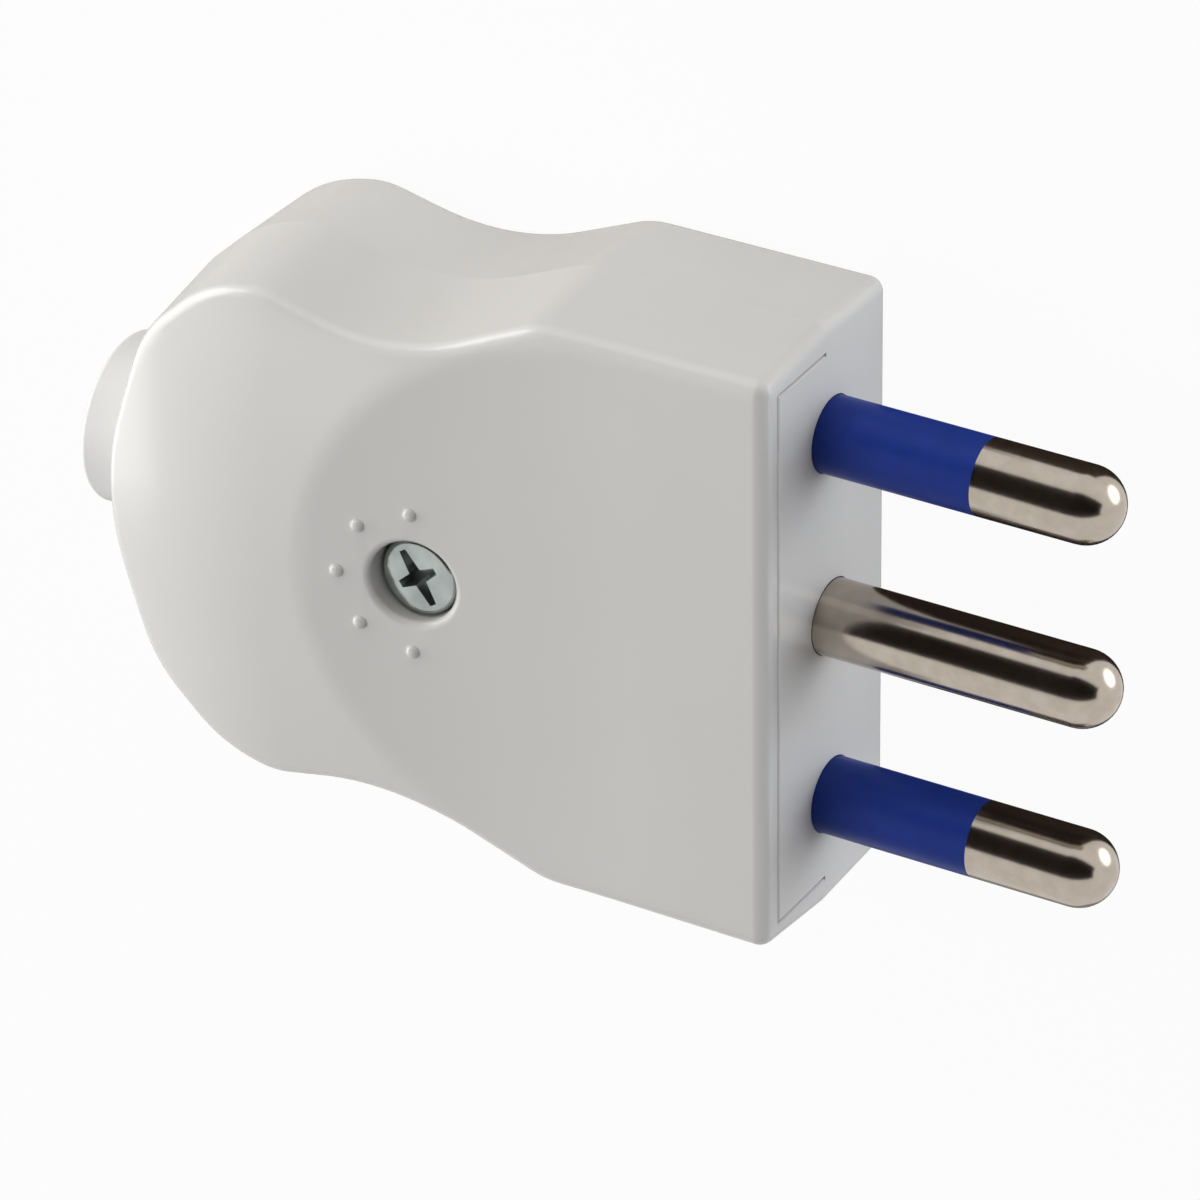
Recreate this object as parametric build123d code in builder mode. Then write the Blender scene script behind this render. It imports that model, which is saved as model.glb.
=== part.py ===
"""Compact rewirable mains plug with three round pins in line and an axial cord outlet.

Millimetres. The origin is on the earth pin's axis at the pin face, +X runs out along the pins,
+Y along the row of pins and +Z out of the front, the face with the cover screw.
"""
import math
import os

from build123d import *

# Pins, as the socket needs them
pin_diameter = 5.0
pin_length = 20.0
pin_pitch = 13.0
sleeve_length = 10.8
sleeve_wall = 0.6
pin_relief = 0.3

# Terminal heads of the pins, inside the housing
terminal_diameter = 6.8
terminal_length = 11.0
wire_hole_diameter = 3.0
wire_hole_depth = 8.0
terminal_screw_diameter = 3.0
terminal_screw_length = 3.2
terminal_head_diameter = 4.8
terminal_head_height = 1.6
terminal_screw_inset = 4.0
driver_slot_width = 0.8

# Housing outline at the parting plane: each corner's distance behind the pin face, and its half width
# or how far it lies inside the pin end's or the grip's half width
face_half = 20.95
shoulder_back = 16.4
side_taper = 0.15
waist_back = 26.5
waist_depth = 2.1
bulb_back = 35.8
bulb_half = 18.5
flank_back = 40.2
flank_fall = 1.0
nose_back = 45.5
nose_half = 12.5
tip_back = 49.3
shoulder_radius = 6.0
waist_radius = 16.5
bulb_radius = 6.0
flank_radius = 9.8
nose_radius = 9.8
tip_radius = 19.0
arc_share = 0.9

# Housing heights above and below the pin axes, walls and edges
parting_height = 0.7
front_height = 8.3
back_depth = 7.2
cover_draft = 6.0
base_draft = 2.5
wall = 2.0
front_wall = 1.6
back_wall = 2.0
pin_wall = 3.0
edge_radius = 1.0
joint_radius = 0.2

# Grip on the front: a hollow ramp behind the flat front, met by a crowned back that falls to the cord end;
# the crown's fall is what it drops from the middle to the pin end's half width
ramp_start_back = 10.0
ramp_radius = 102.0
crest_back = 34.5
crest_height = 10.75
crown_fall = 2.79
nose_fall_radius = 40.0
ridge_radius = 7.0

# Cover screw, its recess with the moulded dots, and the threaded insert
screw_back = 24.7
screw_diameter = 3.0
screw_head_diameter = 5.4
screw_head_height = 2.3
screw_head_round = 0.45
screw_head_sink = 0.85
screw_turn = 123.0
screw_slot_length = 4.0
screw_cross_length = 3.0
screw_slot_width = 1.0
screw_slot_end_width = 0.5
screw_slot_depth = 1.2
recess_gap = 0.15
recess_rim_radius = 0.5
boss_diameter = 7.8
insert_diameter = 4.6
insert_length = 4.6
dot_ring_radius = 4.95
dot_count = 5
dot_radius = 0.5
dot_height = 0.36

# Cord outlet bush and cord clamp
cord_diameter = 8.0
bush_diameter = 11.4
bush_end_back = 51.6
bush_lip_wall = 1.0
bush_flange = 1.3
bush_groove_depth = 0.9
bush_edge = 0.4
clamp_back = 39.5
clamp_width = 4.0
clamp_half = 11.0
clamp_ear_height = 2.6
clamp_arch_wall = 1.4
clamp_screw_offset = 8.2
clamp_screw_diameter = 2.5
clamp_screw_length = 7.5
clamp_head_diameter = 4.4
clamp_head_height = 1.6

# Ribs inside the shells
rib_wall = 1.4
lip_wall = 0.9
lip_height = 1.2
lip_gap_half = 8.0

# Clearances: between moulded pieces, around a pin in its hole, and around a screw's thread
fit_gap = 0.1
pin_gap = 0.05
thread_gap = 0.03

shoulder_half = face_half - side_taper
waist_half = bulb_half - waist_depth
flank_half = bulb_half - flank_fall
crown_radius = (face_half**2 + crown_fall**2) / (2 * crown_fall)
pin_radius = pin_diameter / 2
neck_radius = pin_radius - pin_relief
sleeve_bore_radius = pin_radius - sleeve_wall
terminal_radius = terminal_diameter / 2
bush_radius = bush_diameter / 2
cord_radius = cord_diameter / 2
front_ceiling = front_height - front_wall
back_floor = back_wall - back_depth
row = {"live": pin_pitch, "earth": 0.0, "neutral": -pin_pitch}
sleeved = ("live", "neutral")

# How far the housing's end wall stands behind the pin face on the axis
tip_turn = math.atan2(tip_back - nose_back, nose_half)
housing_back = tip_back - tip_radius * (1 / math.cos(tip_turn) - 1)


def outline_corners(face_x):
    """Corners of the plan outline with the pin end at face_x, all round from the pin end."""
    half = [
        (face_x, face_half),
        (-shoulder_back, shoulder_half),
        (-waist_back, waist_half),
        (-bulb_back, bulb_half),
        (-flank_back, flank_half),
        (-nose_back, nose_half),
    ]
    other_half = [(x, -y) for x, y in reversed(half)]
    return half + [(-tip_back, 0)] + other_half


half_radii = [0, shoulder_radius, waist_radius, bulb_radius, flank_radius, nose_radius]
outline_radii = half_radii + [tip_radius] + half_radii[::-1]


def fitted_radii(corners):
    """The outline's radii, each cut down where its arc would meet the next one on the side between them."""
    points = [Vector(*corner) for corner in corners]
    sides = [end - start for start, end in zip(points, points[1:] + points[:1])]
    turns = [before.get_angle(after) for before, after in zip(sides[-1:] + sides[:-1], sides)]
    reaches = [radius * math.tan(math.radians(turn / 2)) for radius, turn in zip(outline_radii, turns)]
    pairs = [near + far for near, far in zip(reaches, reaches[1:] + reaches[:1])]
    rooms = [arc_share * side.length for side in sides]
    shares = [space / max(space, pair) for space, pair in zip(rooms, pairs)]
    return [radius * min(shares[n - 1], shares[n]) for n, radius in enumerate(outline_radii)]


with BuildSketch() as outline:
    with BuildLine():
        FilletPolyline(*outline_corners(0), radius=fitted_radii(outline_corners(0)), close=True)
    make_face()

# The room inside runs on through the pin face, where the base's pin wall fills it
room_corners = outline_corners(2 * wall)
with BuildSketch() as room:
    with BuildLine():
        FilletPolyline(*room_corners, radius=fitted_radii(room_corners), close=True)
    make_face()
    offset(amount=-wall, kind=Kind.INTERSECTION)

with BuildSketch() as plug_room:
    add(room.sketch)
    offset(amount=-fit_gap, kind=Kind.INTERSECTION)


def ramp_height(x):
    """Height of the flat front and its ramp at x."""
    run = max(0.0, -x - ramp_start_back)
    return front_height + ramp_radius - math.sqrt(ramp_radius**2 - run**2)


def crown_height(y):
    """Height of the crowned back at y, on its straight part."""
    return crest_height - crown_radius + math.sqrt(crown_radius**2 - y**2)


def front_at(x, y):
    """Height of the front at a place on the pin side of the crest."""
    return min(ramp_height(x), crown_height(y))


# Envelope of the crowned back: straight from the pins to the crest, then curved down to the cord end
section_half = face_half + wall
section_side = crown_height(section_half)
with BuildPart() as crowned_back:
    with BuildSketch(Plane.YZ.offset(-crest_back)) as crown:
        with BuildLine():
            ThreePointArc((-section_half, section_side), (0, crest_height), (section_half, section_side))
            Polyline(
                (section_half, section_side),
                (section_half, -back_depth),
                (-section_half, -back_depth),
                (-section_half, section_side),
            )
        make_face()
    extrude(amount=crest_back + wall)
    nose_fall_axis = Axis((-crest_back, 0, crest_height - nose_fall_radius), (0, -1, 0))
    revolve(crown.sketch, nose_fall_axis, revolution_arc=45)

# Envelope of the whole front: the flat and its ramp, then a soft ridge and the crowned back
ramp_start = (-ramp_start_back, front_height)
ramp_end = (-bush_end_back, ramp_height(-bush_end_back))
with BuildPart() as front_envelope:
    with BuildSketch(Plane.XZ):
        with BuildLine():
            Polyline(
                ramp_end,
                (-bush_end_back, -back_depth),
                (wall, -back_depth),
                (wall, front_height),
                ramp_start,
            )
            TangentArc(ramp_start, ramp_end, tangent=(-1, 0))
        make_face()
    extrude(amount=section_half, both=True)
    add(crowned_back.part, mode=Mode.INTERSECT)
    top_edges = front_envelope.edges().filter_by(lambda e: e.center().Z > front_height - fit_gap)
    ridge = top_edges.filter_by(lambda e: e.bounding_box().size.X > wall and abs(e.center().Y) < face_half)
    fillet(ridge, ridge_radius)

cover_top = crest_height
screw_face = front_at(-screw_back, 0)
screw_head_top = screw_face - screw_head_sink
screw_seat = screw_head_top - screw_head_height
clamp_seat_top = parting_height + clamp_ear_height
end_wall_inside = housing_back - wall
end_wall_seat = end_wall_inside + bush_lip_wall
bush_neck_radius = bush_radius - bush_groove_depth
terminal_back = pin_wall + terminal_length
terminal_screw_x = terminal_screw_inset - terminal_back
cradle_backs = (pin_wall + 2 * rib_wall, terminal_back - 2 * rib_wall)
row_half = pin_pitch + terminal_radius
parting = Plane.XY.offset(parting_height)
inside_floor = Plane.XY.offset(back_floor)


# Space for the bush in the end wall of both shells: a lip for its groove, with a seat on each side
with BuildPart() as bush_space:
    with BuildSketch(Plane.XY):
        with BuildLine():
            Polyline(
                (-bush_end_back, 0),
                (-bush_end_back, bush_radius + fit_gap),
                (-end_wall_seat, bush_radius + fit_gap),
                (-end_wall_seat, bush_neck_radius + fit_gap),
                (-end_wall_inside, bush_neck_radius + fit_gap),
                (-end_wall_inside, bush_radius + fit_gap),
                (2 * bush_flange - end_wall_inside, bush_radius + fit_gap),
                (2 * bush_flange - end_wall_inside, 0),
                close=True,
            )
        make_face()
    revolve(axis=Axis.X)

# Round seats for the terminal heads in the ribs of both shells
with BuildSketch(Plane.YZ.offset(-pin_wall)) as terminal_seats:
    with Locations(*[(y, 0) for y in row.values()]):
        Circle(terminal_radius + fit_gap)

# Cover: drafted walls up to the moulded front, with rounded edges
with BuildPart() as front_shell:
    with BuildSketch(parting):
        add(outline.sketch)
    extrude(amount=cover_top + wall - parting_height)
    upright = front_shell.faces().filter_by(lambda f: abs(f.normal_at().Z) < 0.1)
    side_walls = upright.filter_by(lambda f: f.normal_at().X < 0.99)
    draft(side_walls, parting, cover_draft)
    add(front_envelope.part, mode=Mode.INTERSECT)
    front_face = front_shell.faces().filter_by(lambda f: f.normal_at().Z > 0.9)
    pin_face = front_shell.faces().sort_by(Axis.X)[-1]
    rim = front_face.edges() + pin_face.edges()
    fillet(rim.filter_by(lambda e: e.center().Z > parting_height + fit_gap), edge_radius)
    with BuildSketch(parting):
        add(room.sketch)
    extrude(amount=front_ceiling - parting_height, mode=Mode.SUBTRACT)
    face_edges = front_shell.edges().filter_by(lambda e: abs(e.center().X) < thread_gap)
    inner_edges = face_edges.filter_by(lambda e: abs(e.center().Y) < face_half - wall + fit_gap)
    mouth = inner_edges.filter_by(lambda e: e.center().Z < front_ceiling + fit_gap)
    fillet(mouth.filter_by(lambda e: e.center().Z > parting_height + fit_gap), joint_radius)
    # Tube for the cover screw, standing on the base's boss
    with BuildSketch(parting):
        with Locations((-screw_back, 0)):
            Circle(boss_diameter / 2)
    extrude(amount=front_ceiling - parting_height)
    # Rib that holds the pins' terminals down in their cradles
    with BuildSketch(parting):
        with Locations((-cradle_backs[0], 0)):
            Rectangle(rib_wall, 2 * row_half)
    extrude(amount=front_ceiling - parting_height)
    extrude(terminal_seats.sketch, amount=-terminal_length, mode=Mode.SUBTRACT)
    add(bush_space.part, mode=Mode.SUBTRACT)
    # Sunk seat and bore for the cover screw
    with BuildSketch(Plane.XY.offset(screw_seat)):
        with Locations((-screw_back, 0)):
            Circle(screw_head_diameter / 2 + recess_gap)
    extrude(amount=cover_top, mode=Mode.SUBTRACT)
    with BuildSketch(parting):
        with Locations((-screw_back, 0)):
            Circle(screw_diameter / 2 + 2 * fit_gap)
    extrude(amount=cover_top, mode=Mode.SUBTRACT)
    recess_mouth = front_shell.edges().filter_by(GeomType.LINE, reverse=True)
    fillet(recess_mouth.sort_by_distance((-screw_back, 0, screw_face))[0], recess_rim_radius)
    # Moulded dots on the cord side of the screw
    for number in range(dot_count):
        turn = math.radians(90 + number * 180 / (dot_count - 1))
        dot_x = dot_ring_radius * math.cos(turn) - screw_back
        dot_y = dot_ring_radius * math.sin(turn)
        with Locations((dot_x, dot_y, front_at(dot_x, dot_y) + dot_height - dot_radius)):
            Sphere(dot_radius, rotation=(0, 0, 90))

# Base: drafted walls down to a flat back, with the wall that carries the pins
with BuildPart() as back_shell:
    with BuildSketch(parting):
        add(outline.sketch)
    extrude(amount=-back_depth - parting_height)
    upright = back_shell.faces().filter_by(lambda f: abs(f.normal_at().Z) < 0.1)
    side_walls = upright.filter_by(lambda f: f.normal_at().X < 0.99)
    draft(side_walls, parting, -base_draft)
    pin_face = back_shell.faces().sort_by(Axis.X)[-1]
    rim = back_shell.faces().sort_by(Axis.Z)[0].edges() + pin_face.edges()
    fillet(rim.filter_by(lambda e: e.center().Z < parting_height - fit_gap), edge_radius)
    with BuildSketch(parting):
        add(room.sketch)
        with Locations((-pin_wall, 0)):
            Rectangle(tip_back, 2 * face_half, align=(Align.MAX, Align.CENTER), mode=Mode.INTERSECT)
    extrude(amount=back_floor - parting_height, mode=Mode.SUBTRACT)
    # Upper part of the pin wall, which closes the cover's open end
    with BuildSketch(parting):
        add(plug_room.sketch)
        Rectangle(pin_wall, 2 * face_half, align=(Align.MAX, Align.CENTER), mode=Mode.INTERSECT)
    extrude(amount=front_ceiling - fit_gap - parting_height)
    face_edges = back_shell.edges().filter_by(lambda e: abs(e.center().X) < thread_gap)
    fillet(face_edges.filter_by(lambda e: e.center().Z > parting_height + fit_gap), joint_radius)
    # Tongue that keeps the cover's walls in line
    with BuildSketch(parting):
        add(plug_room.sketch)
        offset(plug_room.sketch, amount=-lip_wall, kind=Kind.INTERSECTION, mode=Mode.SUBTRACT)
        with Locations((-pin_wall, 0)):
            Rectangle(tip_back, 2 * face_half, align=(Align.MAX, Align.CENTER), mode=Mode.INTERSECT)
        with Locations((-housing_back, 0)):
            Rectangle(waist_half, 2 * lip_gap_half, mode=Mode.SUBTRACT)
    extrude(amount=lip_height)
    # Cradle ribs under the terminals and barriers between them
    with BuildSketch(inside_floor):
        for cradle_back in cradle_backs:
            with Locations((-cradle_back, 0)):
                Rectangle(rib_wall, 2 * row_half)
    extrude(amount=-back_floor)
    with BuildSketch(inside_floor):
        with Locations((-pin_wall, pin_pitch / 2), (-pin_wall, -pin_pitch / 2)):
            Rectangle(terminal_length, rib_wall, align=(Align.MAX, Align.CENTER))
    extrude(amount=parting_height - fit_gap - back_floor)
    # Boss for the threaded insert and saddle for the cord
    with BuildSketch(inside_floor):
        with Locations((-screw_back, 0)):
            Circle(boss_diameter / 2)
        with Locations((-clamp_back, 0)):
            Rectangle(clamp_width, 2 * clamp_half)
    extrude(amount=parting_height - back_floor)
    with BuildSketch(parting):
        with Locations((-screw_back, 0)):
            Circle(insert_diameter / 2)
    extrude(amount=-insert_length, mode=Mode.SUBTRACT)
    with BuildSketch(parting):
        with Locations((-clamp_back, clamp_screw_offset), (-clamp_back, -clamp_screw_offset)):
            Circle(clamp_screw_diameter / 2 + thread_gap)
    extrude(amount=clamp_ear_height - clamp_screw_length - fit_gap, mode=Mode.SUBTRACT)
    with BuildSketch(Plane.YZ.offset(-clamp_back)):
        Circle(cord_radius)
    extrude(amount=clamp_width, both=True, mode=Mode.SUBTRACT)
    extrude(terminal_seats.sketch, amount=-terminal_length, mode=Mode.SUBTRACT)
    add(bush_space.part, mode=Mode.SUBTRACT)
    with BuildSketch(Plane.YZ):
        with Locations(*[(y, 0) for y in row.values()]):
            Circle(pin_radius + pin_gap)
    extrude(amount=-pin_wall, mode=Mode.SUBTRACT)

# Bush in the cord outlet: a turned ring with a groove for the shells' lip
with BuildPart() as cord_bush:
    with BuildSketch(Plane.XY):
        with BuildLine():
            Polyline(
                (-bush_end_back, cord_radius + 2 * fit_gap),
                (-bush_end_back, bush_radius),
                (-end_wall_seat, bush_radius),
                (-end_wall_seat, bush_neck_radius),
                (fit_gap - end_wall_inside, bush_neck_radius),
                (fit_gap - end_wall_inside, bush_radius),
                (fit_gap + bush_flange - end_wall_inside, bush_radius),
                (fit_gap + bush_flange - end_wall_inside, cord_radius + 2 * fit_gap),
                close=True,
            )
        make_face()
    revolve(axis=Axis.X)
    outer_end = cord_bush.edges().filter_by(GeomType.CIRCLE).group_by(Axis.X)[0]
    fillet(outer_end, bush_edge)

pieces = {"front_shell": front_shell, "back_shell": back_shell, "cord_bush": cord_bush}


def pin_axis(row_y):
    """Axis of the pin at row_y."""
    return Axis((0, row_y, 0), (1, 0, 0))


def pin_plane(row_y):
    """Plane of the profile of the pin at row_y."""
    return Plane(origin=(0, row_y, 0), x_dir=(1, 0, 0), z_dir=(0, 0, 1))


# Turned pins: a terminal head inside, a shank through the pin wall, and a round tip
for name, row_y in row.items():
    with BuildPart() as pin:
        with BuildSketch(pin_plane(row_y)):
            with BuildLine():
                Polyline(
                    (pin_length, 0),
                    (-terminal_back, 0),
                    (-terminal_back, terminal_radius),
                    (-pin_wall, terminal_radius),
                    (-pin_wall, neck_radius),
                    (0, neck_radius),
                    (0, pin_radius),
                    (pin_length - pin_radius, pin_radius),
                )
                RadiusArc((pin_length - pin_radius, pin_radius), (pin_length, 0), pin_radius)
            make_face()
        revolve(axis=pin_axis(row_y))
        if name in sleeved:
            with BuildSketch(pin_plane(row_y)):
                with Locations((-pin_wall, sleeve_bore_radius)):
                    Rectangle(pin_wall + sleeve_length, sleeve_wall, align=(Align.MIN, Align.MIN))
            revolve(axis=pin_axis(row_y), mode=Mode.SUBTRACT)
        with BuildSketch(Plane.YZ.offset(-terminal_back)):
            with Locations((row_y, 0)):
                Circle(wire_hole_diameter / 2)
        extrude(amount=wire_hole_depth, mode=Mode.SUBTRACT)
        with BuildSketch(Plane.XY):
            with Locations((terminal_screw_x, row_y)):
                Circle(terminal_screw_diameter / 2 + thread_gap)
        extrude(amount=terminal_radius, mode=Mode.SUBTRACT)
    pieces[name + "_pin"] = pin

    # Wire screw, seated on the terminal head, with a driver slot
    with BuildPart() as terminal_screw:
        with BuildSketch(Plane.XY.offset(terminal_radius)):
            with Locations((terminal_screw_x, row_y)):
                Circle(terminal_screw_diameter / 2)
        extrude(amount=-terminal_screw_length)
        with BuildSketch(Plane.XY.offset(terminal_radius)):
            with Locations((terminal_screw_x, row_y)):
                Circle(terminal_head_diameter / 2)
        extrude(amount=terminal_head_height)
        with BuildSketch(Plane.XY.offset(terminal_radius + terminal_head_height)):
            with Locations((terminal_screw_x, row_y)):
                Rectangle(driver_slot_width, terminal_head_diameter)
        extrude(amount=-terminal_head_height / 2, mode=Mode.SUBTRACT)
    pieces[name + "_terminal_screw"] = terminal_screw

# Insulating sleeves in the necks of the two outer pins
for name in sleeved:
    with BuildPart() as sleeve:
        with BuildSketch(pin_plane(row[name])):
            with BuildLine():
                Polyline(
                    (-pin_wall, sleeve_bore_radius),
                    (-pin_wall, neck_radius),
                    (0, neck_radius),
                    (0, pin_radius),
                    (sleeve_length, pin_radius),
                    (sleeve_length, sleeve_bore_radius),
                    close=True,
                )
            make_face()
        revolve(axis=pin_axis(row[name]))
    pieces[name + "_sleeve"] = sleeve

# Cover screw with a pan head and a slot crossed by a shorter one
with BuildPart() as cover_screw:
    with BuildSketch(Plane.XY.offset(screw_seat)):
        with Locations((-screw_back, 0)):
            Circle(screw_head_diameter / 2)
    extrude(amount=screw_head_height)
    fillet(cover_screw.edges().group_by(Axis.Z)[-1], screw_head_round)
    with BuildSketch(Plane.XY.offset(screw_seat)):
        with Locations((-screw_back, 0)):
            Circle(screw_diameter / 2)
    extrude(amount=parting_height - insert_length + screw_diameter / 4 - screw_seat)
    with BuildSketch(Plane.XY.offset(screw_head_top)):
        for length, turn in ((screw_slot_length, screw_turn), (screw_cross_length, screw_turn + 90)):
            with Locations(Location((-screw_back, 0), turn)):
                Polygon(
                    (length / 2, screw_slot_end_width / 2),
                    (0, screw_slot_width / 2),
                    (-length / 2, screw_slot_end_width / 2),
                    (-length / 2, -screw_slot_end_width / 2),
                    (0, -screw_slot_width / 2),
                    (length / 2, -screw_slot_end_width / 2),
                    align=None,
                )
    extrude(amount=-screw_slot_depth, mode=Mode.SUBTRACT)
pieces["cover_screw"] = cover_screw

# Threaded brass insert, moulded into the base's boss
with BuildPart() as screw_insert:
    with BuildSketch(parting):
        with Locations((-screw_back, 0)):
            Circle(insert_diameter / 2)
            Circle(screw_diameter / 2 + thread_gap, mode=Mode.SUBTRACT)
    extrude(amount=-insert_length)
pieces["screw_insert"] = screw_insert

# Clamp bar that arches over the cord, on the saddle
with BuildPart() as cord_clamp:
    with BuildSketch(Plane.YZ.offset(-clamp_back)):
        with Locations((0, parting_height)):
            Rectangle(2 * clamp_half, clamp_ear_height, align=(Align.CENTER, Align.MIN))
        Circle(cord_radius + clamp_arch_wall)
        Circle(cord_radius, mode=Mode.SUBTRACT)
        with Locations((0, parting_height)):
            Rectangle(2 * clamp_half, bush_diameter, align=(Align.CENTER, Align.MAX), mode=Mode.SUBTRACT)
    extrude(amount=clamp_width / 2, both=True)
    with BuildSketch(parting):
        with Locations((-clamp_back, clamp_screw_offset), (-clamp_back, -clamp_screw_offset)):
            Circle(clamp_screw_diameter / 2 + fit_gap)
    extrude(amount=bush_diameter, mode=Mode.SUBTRACT)
pieces["cord_clamp"] = cord_clamp

# The bar's two screws, with slotted heads on its ears
for name in sleeved:
    screw_y = math.copysign(clamp_screw_offset, row[name])
    with BuildPart() as clamp_screw:
        with BuildSketch(Plane.XY.offset(clamp_seat_top)):
            with Locations((-clamp_back, screw_y)):
                Circle(clamp_screw_diameter / 2)
        extrude(amount=-clamp_screw_length)
        with BuildSketch(Plane.XY.offset(clamp_seat_top)):
            with Locations((-clamp_back, screw_y)):
                Circle(clamp_head_diameter / 2)
        extrude(amount=clamp_head_height)
        with BuildSketch(Plane.XY.offset(clamp_seat_top + clamp_head_height)):
            with Locations((-clamp_back, screw_y)):
                Rectangle(clamp_head_diameter, driver_slot_width)
        extrude(amount=-clamp_head_height / 2, mode=Mode.SUBTRACT)
    pieces["clamp_screw_" + name + "_side"] = clamp_screw

os.makedirs("parts", exist_ok=True)
for name, piece in pieces.items():
    piece.part.label = name
    export_step(piece.part, "parts/" + name + ".step")
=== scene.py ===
import math
import bmesh
import bpy
from mathutils import Euler, Matrix, Vector


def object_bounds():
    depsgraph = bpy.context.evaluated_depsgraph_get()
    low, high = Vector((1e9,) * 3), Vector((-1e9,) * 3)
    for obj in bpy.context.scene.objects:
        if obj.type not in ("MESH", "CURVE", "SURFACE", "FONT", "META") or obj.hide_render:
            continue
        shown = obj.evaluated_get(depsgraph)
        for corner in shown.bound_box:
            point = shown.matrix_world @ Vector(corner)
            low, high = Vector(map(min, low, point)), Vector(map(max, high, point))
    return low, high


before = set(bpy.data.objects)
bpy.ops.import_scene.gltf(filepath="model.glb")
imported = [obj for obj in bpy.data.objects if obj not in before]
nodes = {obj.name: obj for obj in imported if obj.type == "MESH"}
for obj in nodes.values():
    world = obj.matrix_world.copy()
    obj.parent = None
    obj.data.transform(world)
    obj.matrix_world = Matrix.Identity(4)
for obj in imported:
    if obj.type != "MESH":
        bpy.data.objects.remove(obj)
cad_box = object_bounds()

# Housing: a base and a cover, injection moulded in off-white plastic and polished in the mould.
# The base carries the pins, and the cover goes over it and is held by one screw.
# The cord clamp inside is a bar of the same plastic.
mm = 0.001
mould_ripple = 0.006 * mm
smooth_angle = math.radians(28)
weld_distance = 1e-6
ramp_start, ramp_end = 0.3, 0.7


def new_material(name):
    """A material with a main shader."""
    material = bpy.data.materials.new(name)
    material.use_nodes = True
    return material


def inputs_of(material):
    """The inputs of a material's main shader."""
    return material.node_tree.nodes["Principled BSDF"].inputs


def noise(tree, scale, detail=2.0):
    """Noise in a piece's own coordinates, with scale features per metre."""
    coords = tree.nodes.new("ShaderNodeTexCoord")
    node = tree.nodes.new("ShaderNodeTexNoise")
    node.inputs["Scale"].default_value = scale
    node.inputs["Detail"].default_value = detail
    tree.links.new(coords.outputs["Object"], node.inputs["Vector"])
    return node.outputs["Fac"]


def between(tree, factor, low, high, target):
    """Drive a number from low to high by a factor."""
    node = tree.nodes.new("ShaderNodeMapRange")
    node.inputs["To Min"].default_value = low
    node.inputs["To Max"].default_value = high
    tree.links.new(factor, node.inputs["Value"])
    tree.links.new(node.outputs["Result"], target)


def mottled(name, dark, light, scale, detail=2.0, metallic=0):
    """A material whose colour wanders from dark to light."""
    material = new_material(name)
    tree = material.node_tree
    ramp = tree.nodes.new("ShaderNodeValToRGB")
    first, last = ramp.color_ramp.elements
    first.position, last.position = ramp_start, ramp_end
    first.color, last.color = (*dark, 1), (*light, 1)
    tree.links.new(noise(tree, scale, detail), ramp.inputs["Fac"])
    tree.links.new(ramp.outputs["Color"], inputs_of(material)["Base Color"])
    inputs_of(material)["Metallic"].default_value = metallic
    return material


def roughened(material, low, high, scale):
    """Let a material's roughness wander from low to high."""
    tree = material.node_tree
    between(tree, noise(tree, scale), low, high, inputs_of(material)["Roughness"])


def rippled(material, height, strength, scale, detail):
    """Bump a material by ripples of up to a height."""
    tree = material.node_tree
    bump = tree.nodes.new("ShaderNodeBump")
    bump.inputs["Strength"].default_value = strength
    bump.inputs["Distance"].default_value = height
    tree.links.new(noise(tree, scale, detail), bump.inputs["Height"])
    tree.links.new(bump.outputs["Normal"], inputs_of(material)["Normal"])


def finish(name, material):
    """Give a solid one material, and shade its curved faces smoothly."""
    piece = nodes[name]
    piece.data.materials.clear()
    piece.data.materials.append(material)
    piece.data.shade_smooth()
    piece.modifiers.new("weld", "WELD").merge_threshold = weld_distance
    split = piece.modifiers.new("edges", "EDGE_SPLIT")
    split.split_angle = smooth_angle
    split.use_edge_sharp = False
    piece.modifiers.new("normals", "WEIGHTED_NORMAL").keep_sharp = True


shell_plastic = mottled(
    "shell_plastic", dark=(0.715, 0.705, 0.682), light=(0.73, 0.72, 0.70), scale=90
)
roughened(shell_plastic, low=0.16, high=0.22, scale=250)
rippled(shell_plastic, height=mould_ripple, strength=0.6, scale=260, detail=1.0)
for name in ("front_shell", "back_shell", "cord_clamp"):
    finish(name, shell_plastic)

# Cord bush: a white plastic ring with a duller surface than the housing's.
# The two shells trap it by its groove, and the cord goes in through it.
bush_plastic = mottled(
    "bush_plastic", dark=(0.73, 0.73, 0.715), light=(0.76, 0.755, 0.745), scale=150
)
roughened(bush_plastic, low=0.38, high=0.5, scale=900)
finish("cord_bush", bush_plastic)

# Pins: turned brass with a bright nickel plate, round at the tip.
# Their terminal heads sit in the ribs of both shells.
nickel = mottled(
    "nickel", dark=(0.43, 0.375, 0.315), light=(0.49, 0.435, 0.375), scale=900, metallic=1
)
roughened(nickel, low=0.15, high=0.21, scale=2600)
for name in ("live_pin", "earth_pin", "neutral_pin"):
    finish(name, nickel)

# Sleeves: insulation of dark blue plastic on the outer pins.
# They are moulded into the pins' necks, flush with the metal, and shine little.
sleeve_blue = mottled(
    "sleeve_blue", dark=(0.014, 0.037, 0.25), light=(0.016, 0.042, 0.28), scale=600
)
roughened(sleeve_blue, low=0.3, high=0.4, scale=2500)
inputs_of(sleeve_blue)["Specular IOR Level"].default_value = 0.12
for name in ("live_sleeve", "neutral_sleeve"):
    finish(name, sleeve_blue)

# Screws: steel with a mottled zinc plate.
# One holds the cover, three hold the wires in the pins, and two hold the cord clamp.
zinc = mottled(
    "zinc", dark=(0.30, 0.33, 0.325), light=(0.47, 0.51, 0.49), scale=420, detail=3.0, metallic=0.85
)
roughened(zinc, low=0.12, high=0.18, scale=1500)
for name in nodes:
    if "screw" in name and name != "screw_insert":
        finish(name, zinc)

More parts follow.
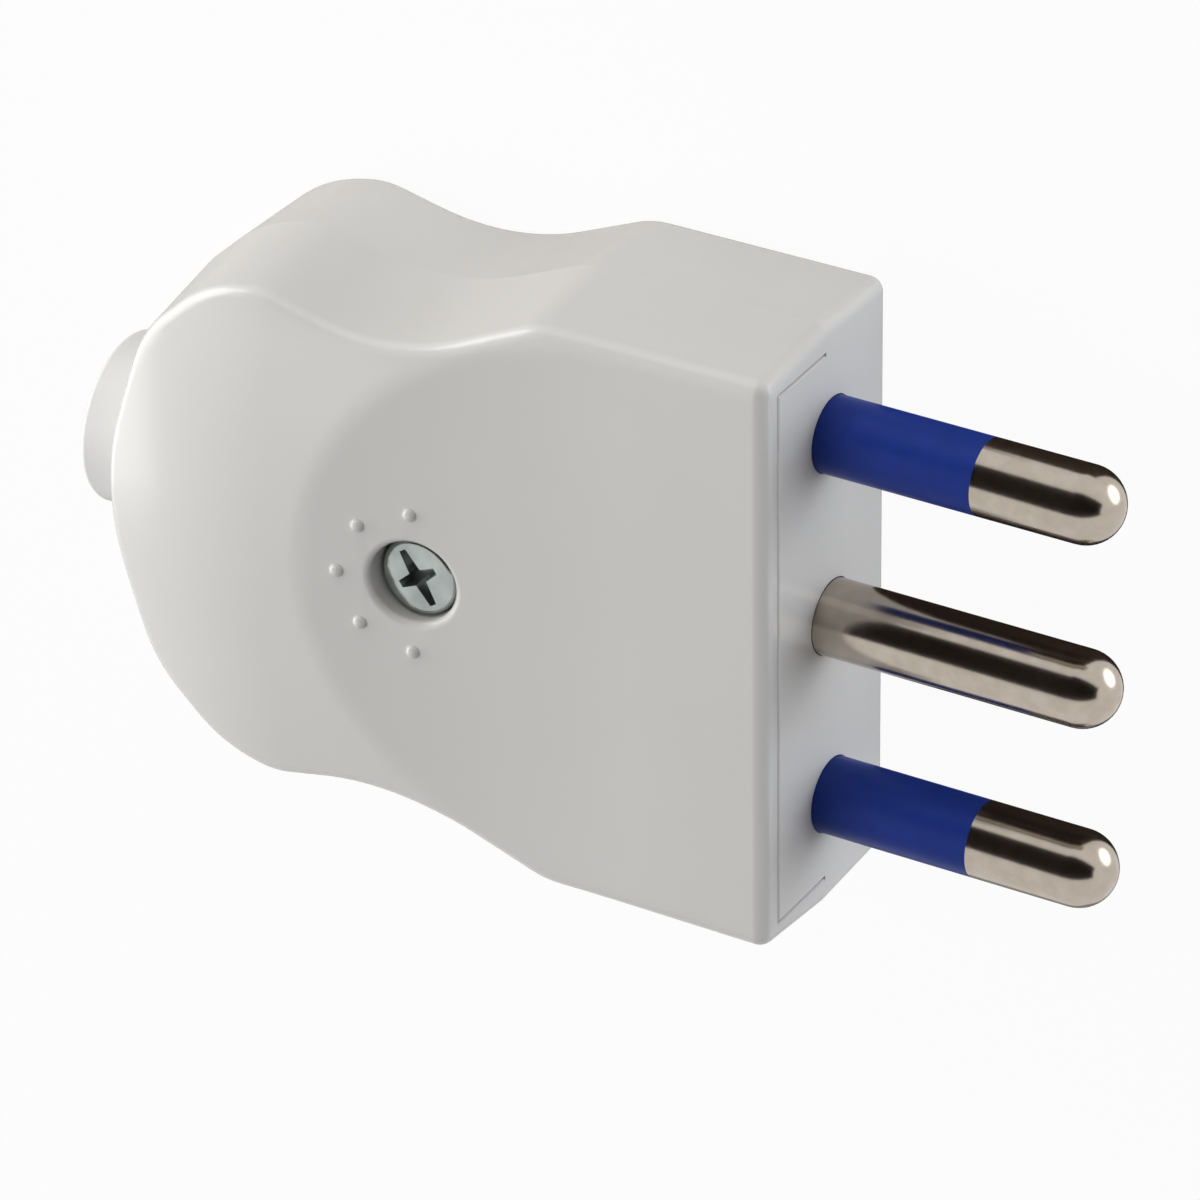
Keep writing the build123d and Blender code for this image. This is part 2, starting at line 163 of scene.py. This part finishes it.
# Threaded insert: a turned brass bush.
# It is moulded into the base and takes the cover screw.
brass = mottled("brass", dark=(0.6, 0.44, 0.2), light=(0.7, 0.54, 0.28), scale=1200, metallic=1)
finish("screw_insert", brass)

# Floor: a pale sheet just under the plug, which shows white and keeps the plug's shadow.
# It is clear from below, so that the back can be seen, and lets the low lamp through.
# Reflections see the background and the cards in its place.
floor_half = 1.5
floor_gap = 0.2 * mm
floor_z = cad_box[0].z - floor_gap
white_share = 0.95


def seen_rays(tree):
    """A factor of 1 for rays that see a surface straight, in a reflection or through glass."""
    rays = tree.nodes.new("ShaderNodeLightPath")
    mirrored = tree.nodes.new("ShaderNodeMath")
    mirrored.operation = "MAXIMUM"
    tree.links.new(rays.outputs["Is Camera Ray"], mirrored.inputs[0])
    tree.links.new(rays.outputs["Is Glossy Ray"], mirrored.inputs[1])
    through = tree.nodes.new("ShaderNodeMath")
    through.operation = "MAXIMUM"
    tree.links.new(mirrored.outputs[0], through.inputs[0])
    tree.links.new(rays.outputs["Is Transmission Ray"], through.inputs[1])
    return through.outputs[0]


def mixed(tree, first, second):
    """A mix of two shaders, with its factor still to be linked."""
    node = tree.nodes.new("ShaderNodeMixShader")
    tree.links.new(first.outputs[0], node.inputs[1])
    tree.links.new(second.outputs[0], node.inputs[2])
    return node


def face(corners):
    """A flat face through a few corners."""
    shape = bmesh.new()
    shape.faces.new([shape.verts.new(corner) for corner in corners])
    return shape


def level_face(low, high, z):
    """A level rectangle between two corners."""
    (x0, y0), (x1, y1) = low, high
    return face([(x0, y0, z), (x1, y0, z), (x1, y1, z), (x0, y1, z)])


def sheet(name, shape, material):
    """A flat sheet on the stage."""
    mesh = bpy.data.meshes.new(name)
    shape.to_mesh(mesh)
    shape.free()
    mesh.materials.append(material)
    piece = bpy.data.objects.new(name, mesh)
    bpy.context.scene.collection.objects.link(piece)
    return piece


paper = new_material("paper")
tree = paper.node_tree
tree.nodes.remove(tree.nodes["Principled BSDF"])
dull = tree.nodes.new("ShaderNodeBsdfDiffuse")
dull.inputs["Color"].default_value = (0.72, 0.72, 0.73, 1)
white = tree.nodes.new("ShaderNodeEmission")
upper_side = mixed(tree, dull, white)
between(tree, seen_rays(tree), 0, white_share, upper_side.inputs["Fac"])
clear = tree.nodes.new("ShaderNodeBsdfTransparent")
both_sides = mixed(tree, upper_side, clear)
geometry = tree.nodes.new("ShaderNodeNewGeometry")
tree.links.new(geometry.outputs["Backfacing"], both_sides.inputs["Fac"])
tree.links.new(both_sides.outputs[0], tree.nodes["Material Output"].inputs["Surface"])
floor_face = level_face((-floor_half, -floor_half), (floor_half, floor_half), floor_z)
floor = sheet("floor", floor_face, paper)
floor.visible_shadow = False
floor.visible_glossy = False

# Background: a white studio, as bright as the photograph's where it is seen or mirrored.
# On dull surfaces it is only a weak fill, and the lamps do the rest.
fill_strength, seen_strength = 0.2, 1.0
world = bpy.data.worlds.new("studio")
bpy.context.scene.world = world
world.use_nodes = True
tree = world.node_tree
background = tree.nodes["Background"]
background.inputs["Color"].default_value = (1, 1, 1, 1)
between(tree, seen_rays(tree), fill_strength, seen_strength, background.inputs["Strength"])

# Dull cards: felt sheets that only reflections see.
# Black and brown ones make the dark bands on the pins, and grey ones dim what the walls mirror.
# The low ones lie on the floor round the plug, and the high ones stand in an arc over the pins.
arc_distance = 0.3
arc_turns = (31, 47, 63, 79, 96)
arc_start, arc_end = -1.2, 2
across_pins = 0.9


def felt(name, shade):
    """A dull card stock."""
    material = new_material(name)
    inputs_of(material)["Base Color"].default_value = (*shade, 1)
    inputs_of(material)["Roughness"].default_value = 1
    inputs_of(material)["Specular IOR Level"].default_value = 0
    return material


def mirror_card(name, shape, material):
    """A card that only reflections see."""
    card = sheet(name, shape, material)
    card.visible_camera = False
    card.visible_diffuse = False
    card.visible_transmission = False
    card.visible_shadow = False


def pin_view(turn, reach):
    """A place that a pin mirrors to the camera, by turn from +Y to +Z and reach along +X."""
    angle = math.radians(turn)
    way = Vector((reach, across_pins * math.cos(angle), across_pins * math.sin(angle)))
    return way * arc_distance


black_felt = felt("black_felt", (0.02, 0.015, 0.012))
brown_felt = felt("brown_felt", (0.09, 0.065, 0.055))
grey_felt = felt("grey_felt", (0.5, 0.48, 0.46))
# Each low card: its two corners and its lift above the floor in millimetres, and its felt
for name, low, high, lift, material in (
    ("under_card", (-12, -14.5), (20, 20), 0.1, brown_felt),
    ("beside_card", (4, 20), (20, 30), 0.1, brown_felt),
    ("far_card", (-6, -45), (20, -14.5), 0.1, grey_felt),
    ("wall_card", (-80, -45), (4, 38), 0.05, grey_felt),
):
    low_corner, high_corner = Vector(low) * mm, Vector(high) * mm
    mirror_card(name, level_face(low_corner, high_corner, floor_z + lift * mm), material)
for first, last in zip(arc_turns, arc_turns[1:]):
    ends = ((first, arc_start), (first, arc_end), (last, arc_end), (last, arc_start))
    mirror_card("high_card", face([pin_view(turn, reach) for turn, reach in ends]), black_felt)

# Bright cards: two round sheets that shine in reflections and light nothing.
# One makes the glints on the pins' tips, the other the bright line along the housing's edge.
disc_sides = 24


def glow(name, strength):
    """A card stock that shines."""
    material = felt(name, (0, 0, 0))
    inputs_of(material)["Emission Color"].default_value = (1, 1, 1, 1)
    inputs_of(material)["Emission Strength"].default_value = strength
    material.cycles.emission_sampling = "NONE"
    return material


def disc(place, way, diameter):
    """A round face at a place, square to a direction."""
    turn = Vector(way).to_track_quat("Z", "Y").to_matrix().to_4x4()
    matrix = Matrix.Translation(place) @ turn
    shape = bmesh.new()
    bmesh.ops.create_circle(
        shape, cap_ends=True, segments=disc_sides, radius=diameter / 2, matrix=matrix
    )
    return shape


glint = disc(place=(0.235, 0.1, -0.17), way=(0.76, 0.32, -0.57), diameter=0.21)
mirror_card("glint_card", glint, glow("glint_glow", strength=3))
window = disc(place=(-0.355, 0.172, 0.12), way=(-0.85, 0.43, 0.3), diameter=0.24)
mirror_card("window_card", window, glow("window_glow", strength=5))

# Lamps: four soft boxes round the plug, each named for the side that it lights.
# Reflections see only the one at the cord's end.
lamp_aim = Vector((-14 * mm, 0, 0))
plain, warm, cool = (1, 1, 1), (1.0, 0.97, 0.93), (0.93, 0.96, 1.0)


def softbox(name, towards, distance, size, energy, colour=plain, mirrored=False):
    """A soft light that faces the plug, of a width and a height."""
    light = bpy.data.lights.new(name, "AREA")
    light.shape = "RECTANGLE"
    light.size, light.size_y = size
    light.energy = energy
    light.color = colour
    lamp = bpy.data.objects.new(name, light)
    way = Vector(towards).normalized()
    lamp.location = lamp_aim + way * distance
    lamp.rotation_euler = way.to_track_quat("Z", "Y").to_euler()
    lamp.visible_camera = False
    lamp.visible_glossy = mirrored
    bpy.context.scene.collection.objects.link(lamp)


softbox(
    "side_light",
    towards=(-0.97, 0.05, 0.2), distance=0.45, size=(0.55, 0.35), energy=1.45, mirrored=True,
)
softbox(
    "top_light",
    towards=(-0.45, 0, 0.87), distance=0.5, size=(0.35, 0.35), energy=1.1,
)
softbox(
    "row_light",
    towards=(-0.25, 0.93, 0.15), distance=0.45, size=(0.3, 0.3), energy=0.73, colour=warm,
)
softbox(
    "pin_side_light",
    towards=(0.88, 0.08, -0.47), distance=0.3, size=(0.22, 0.32), energy=0.86, colour=cool,
)

# Camera: at the photograph's viewpoint, which was fitted to the three pins.
# It is a long lens, far from the plug and turned off the plug's axes.
camera_place = Vector((229.22, 287.92, 416.95)) * mm
camera_turn = Euler([math.radians(turn) for turn in (-31.437, 30.139, -0.725)])
camera = bpy.data.cameras.new("camera")
camera.lens = 270
camera.sensor_width = 36
viewpoint = bpy.data.objects.new("camera", camera)
viewpoint.location = camera_place
viewpoint.rotation_euler = camera_turn
bpy.context.scene.collection.objects.link(viewpoint)
bpy.context.scene.camera = viewpoint
bpy.context.scene.view_settings.view_transform = "Standard"
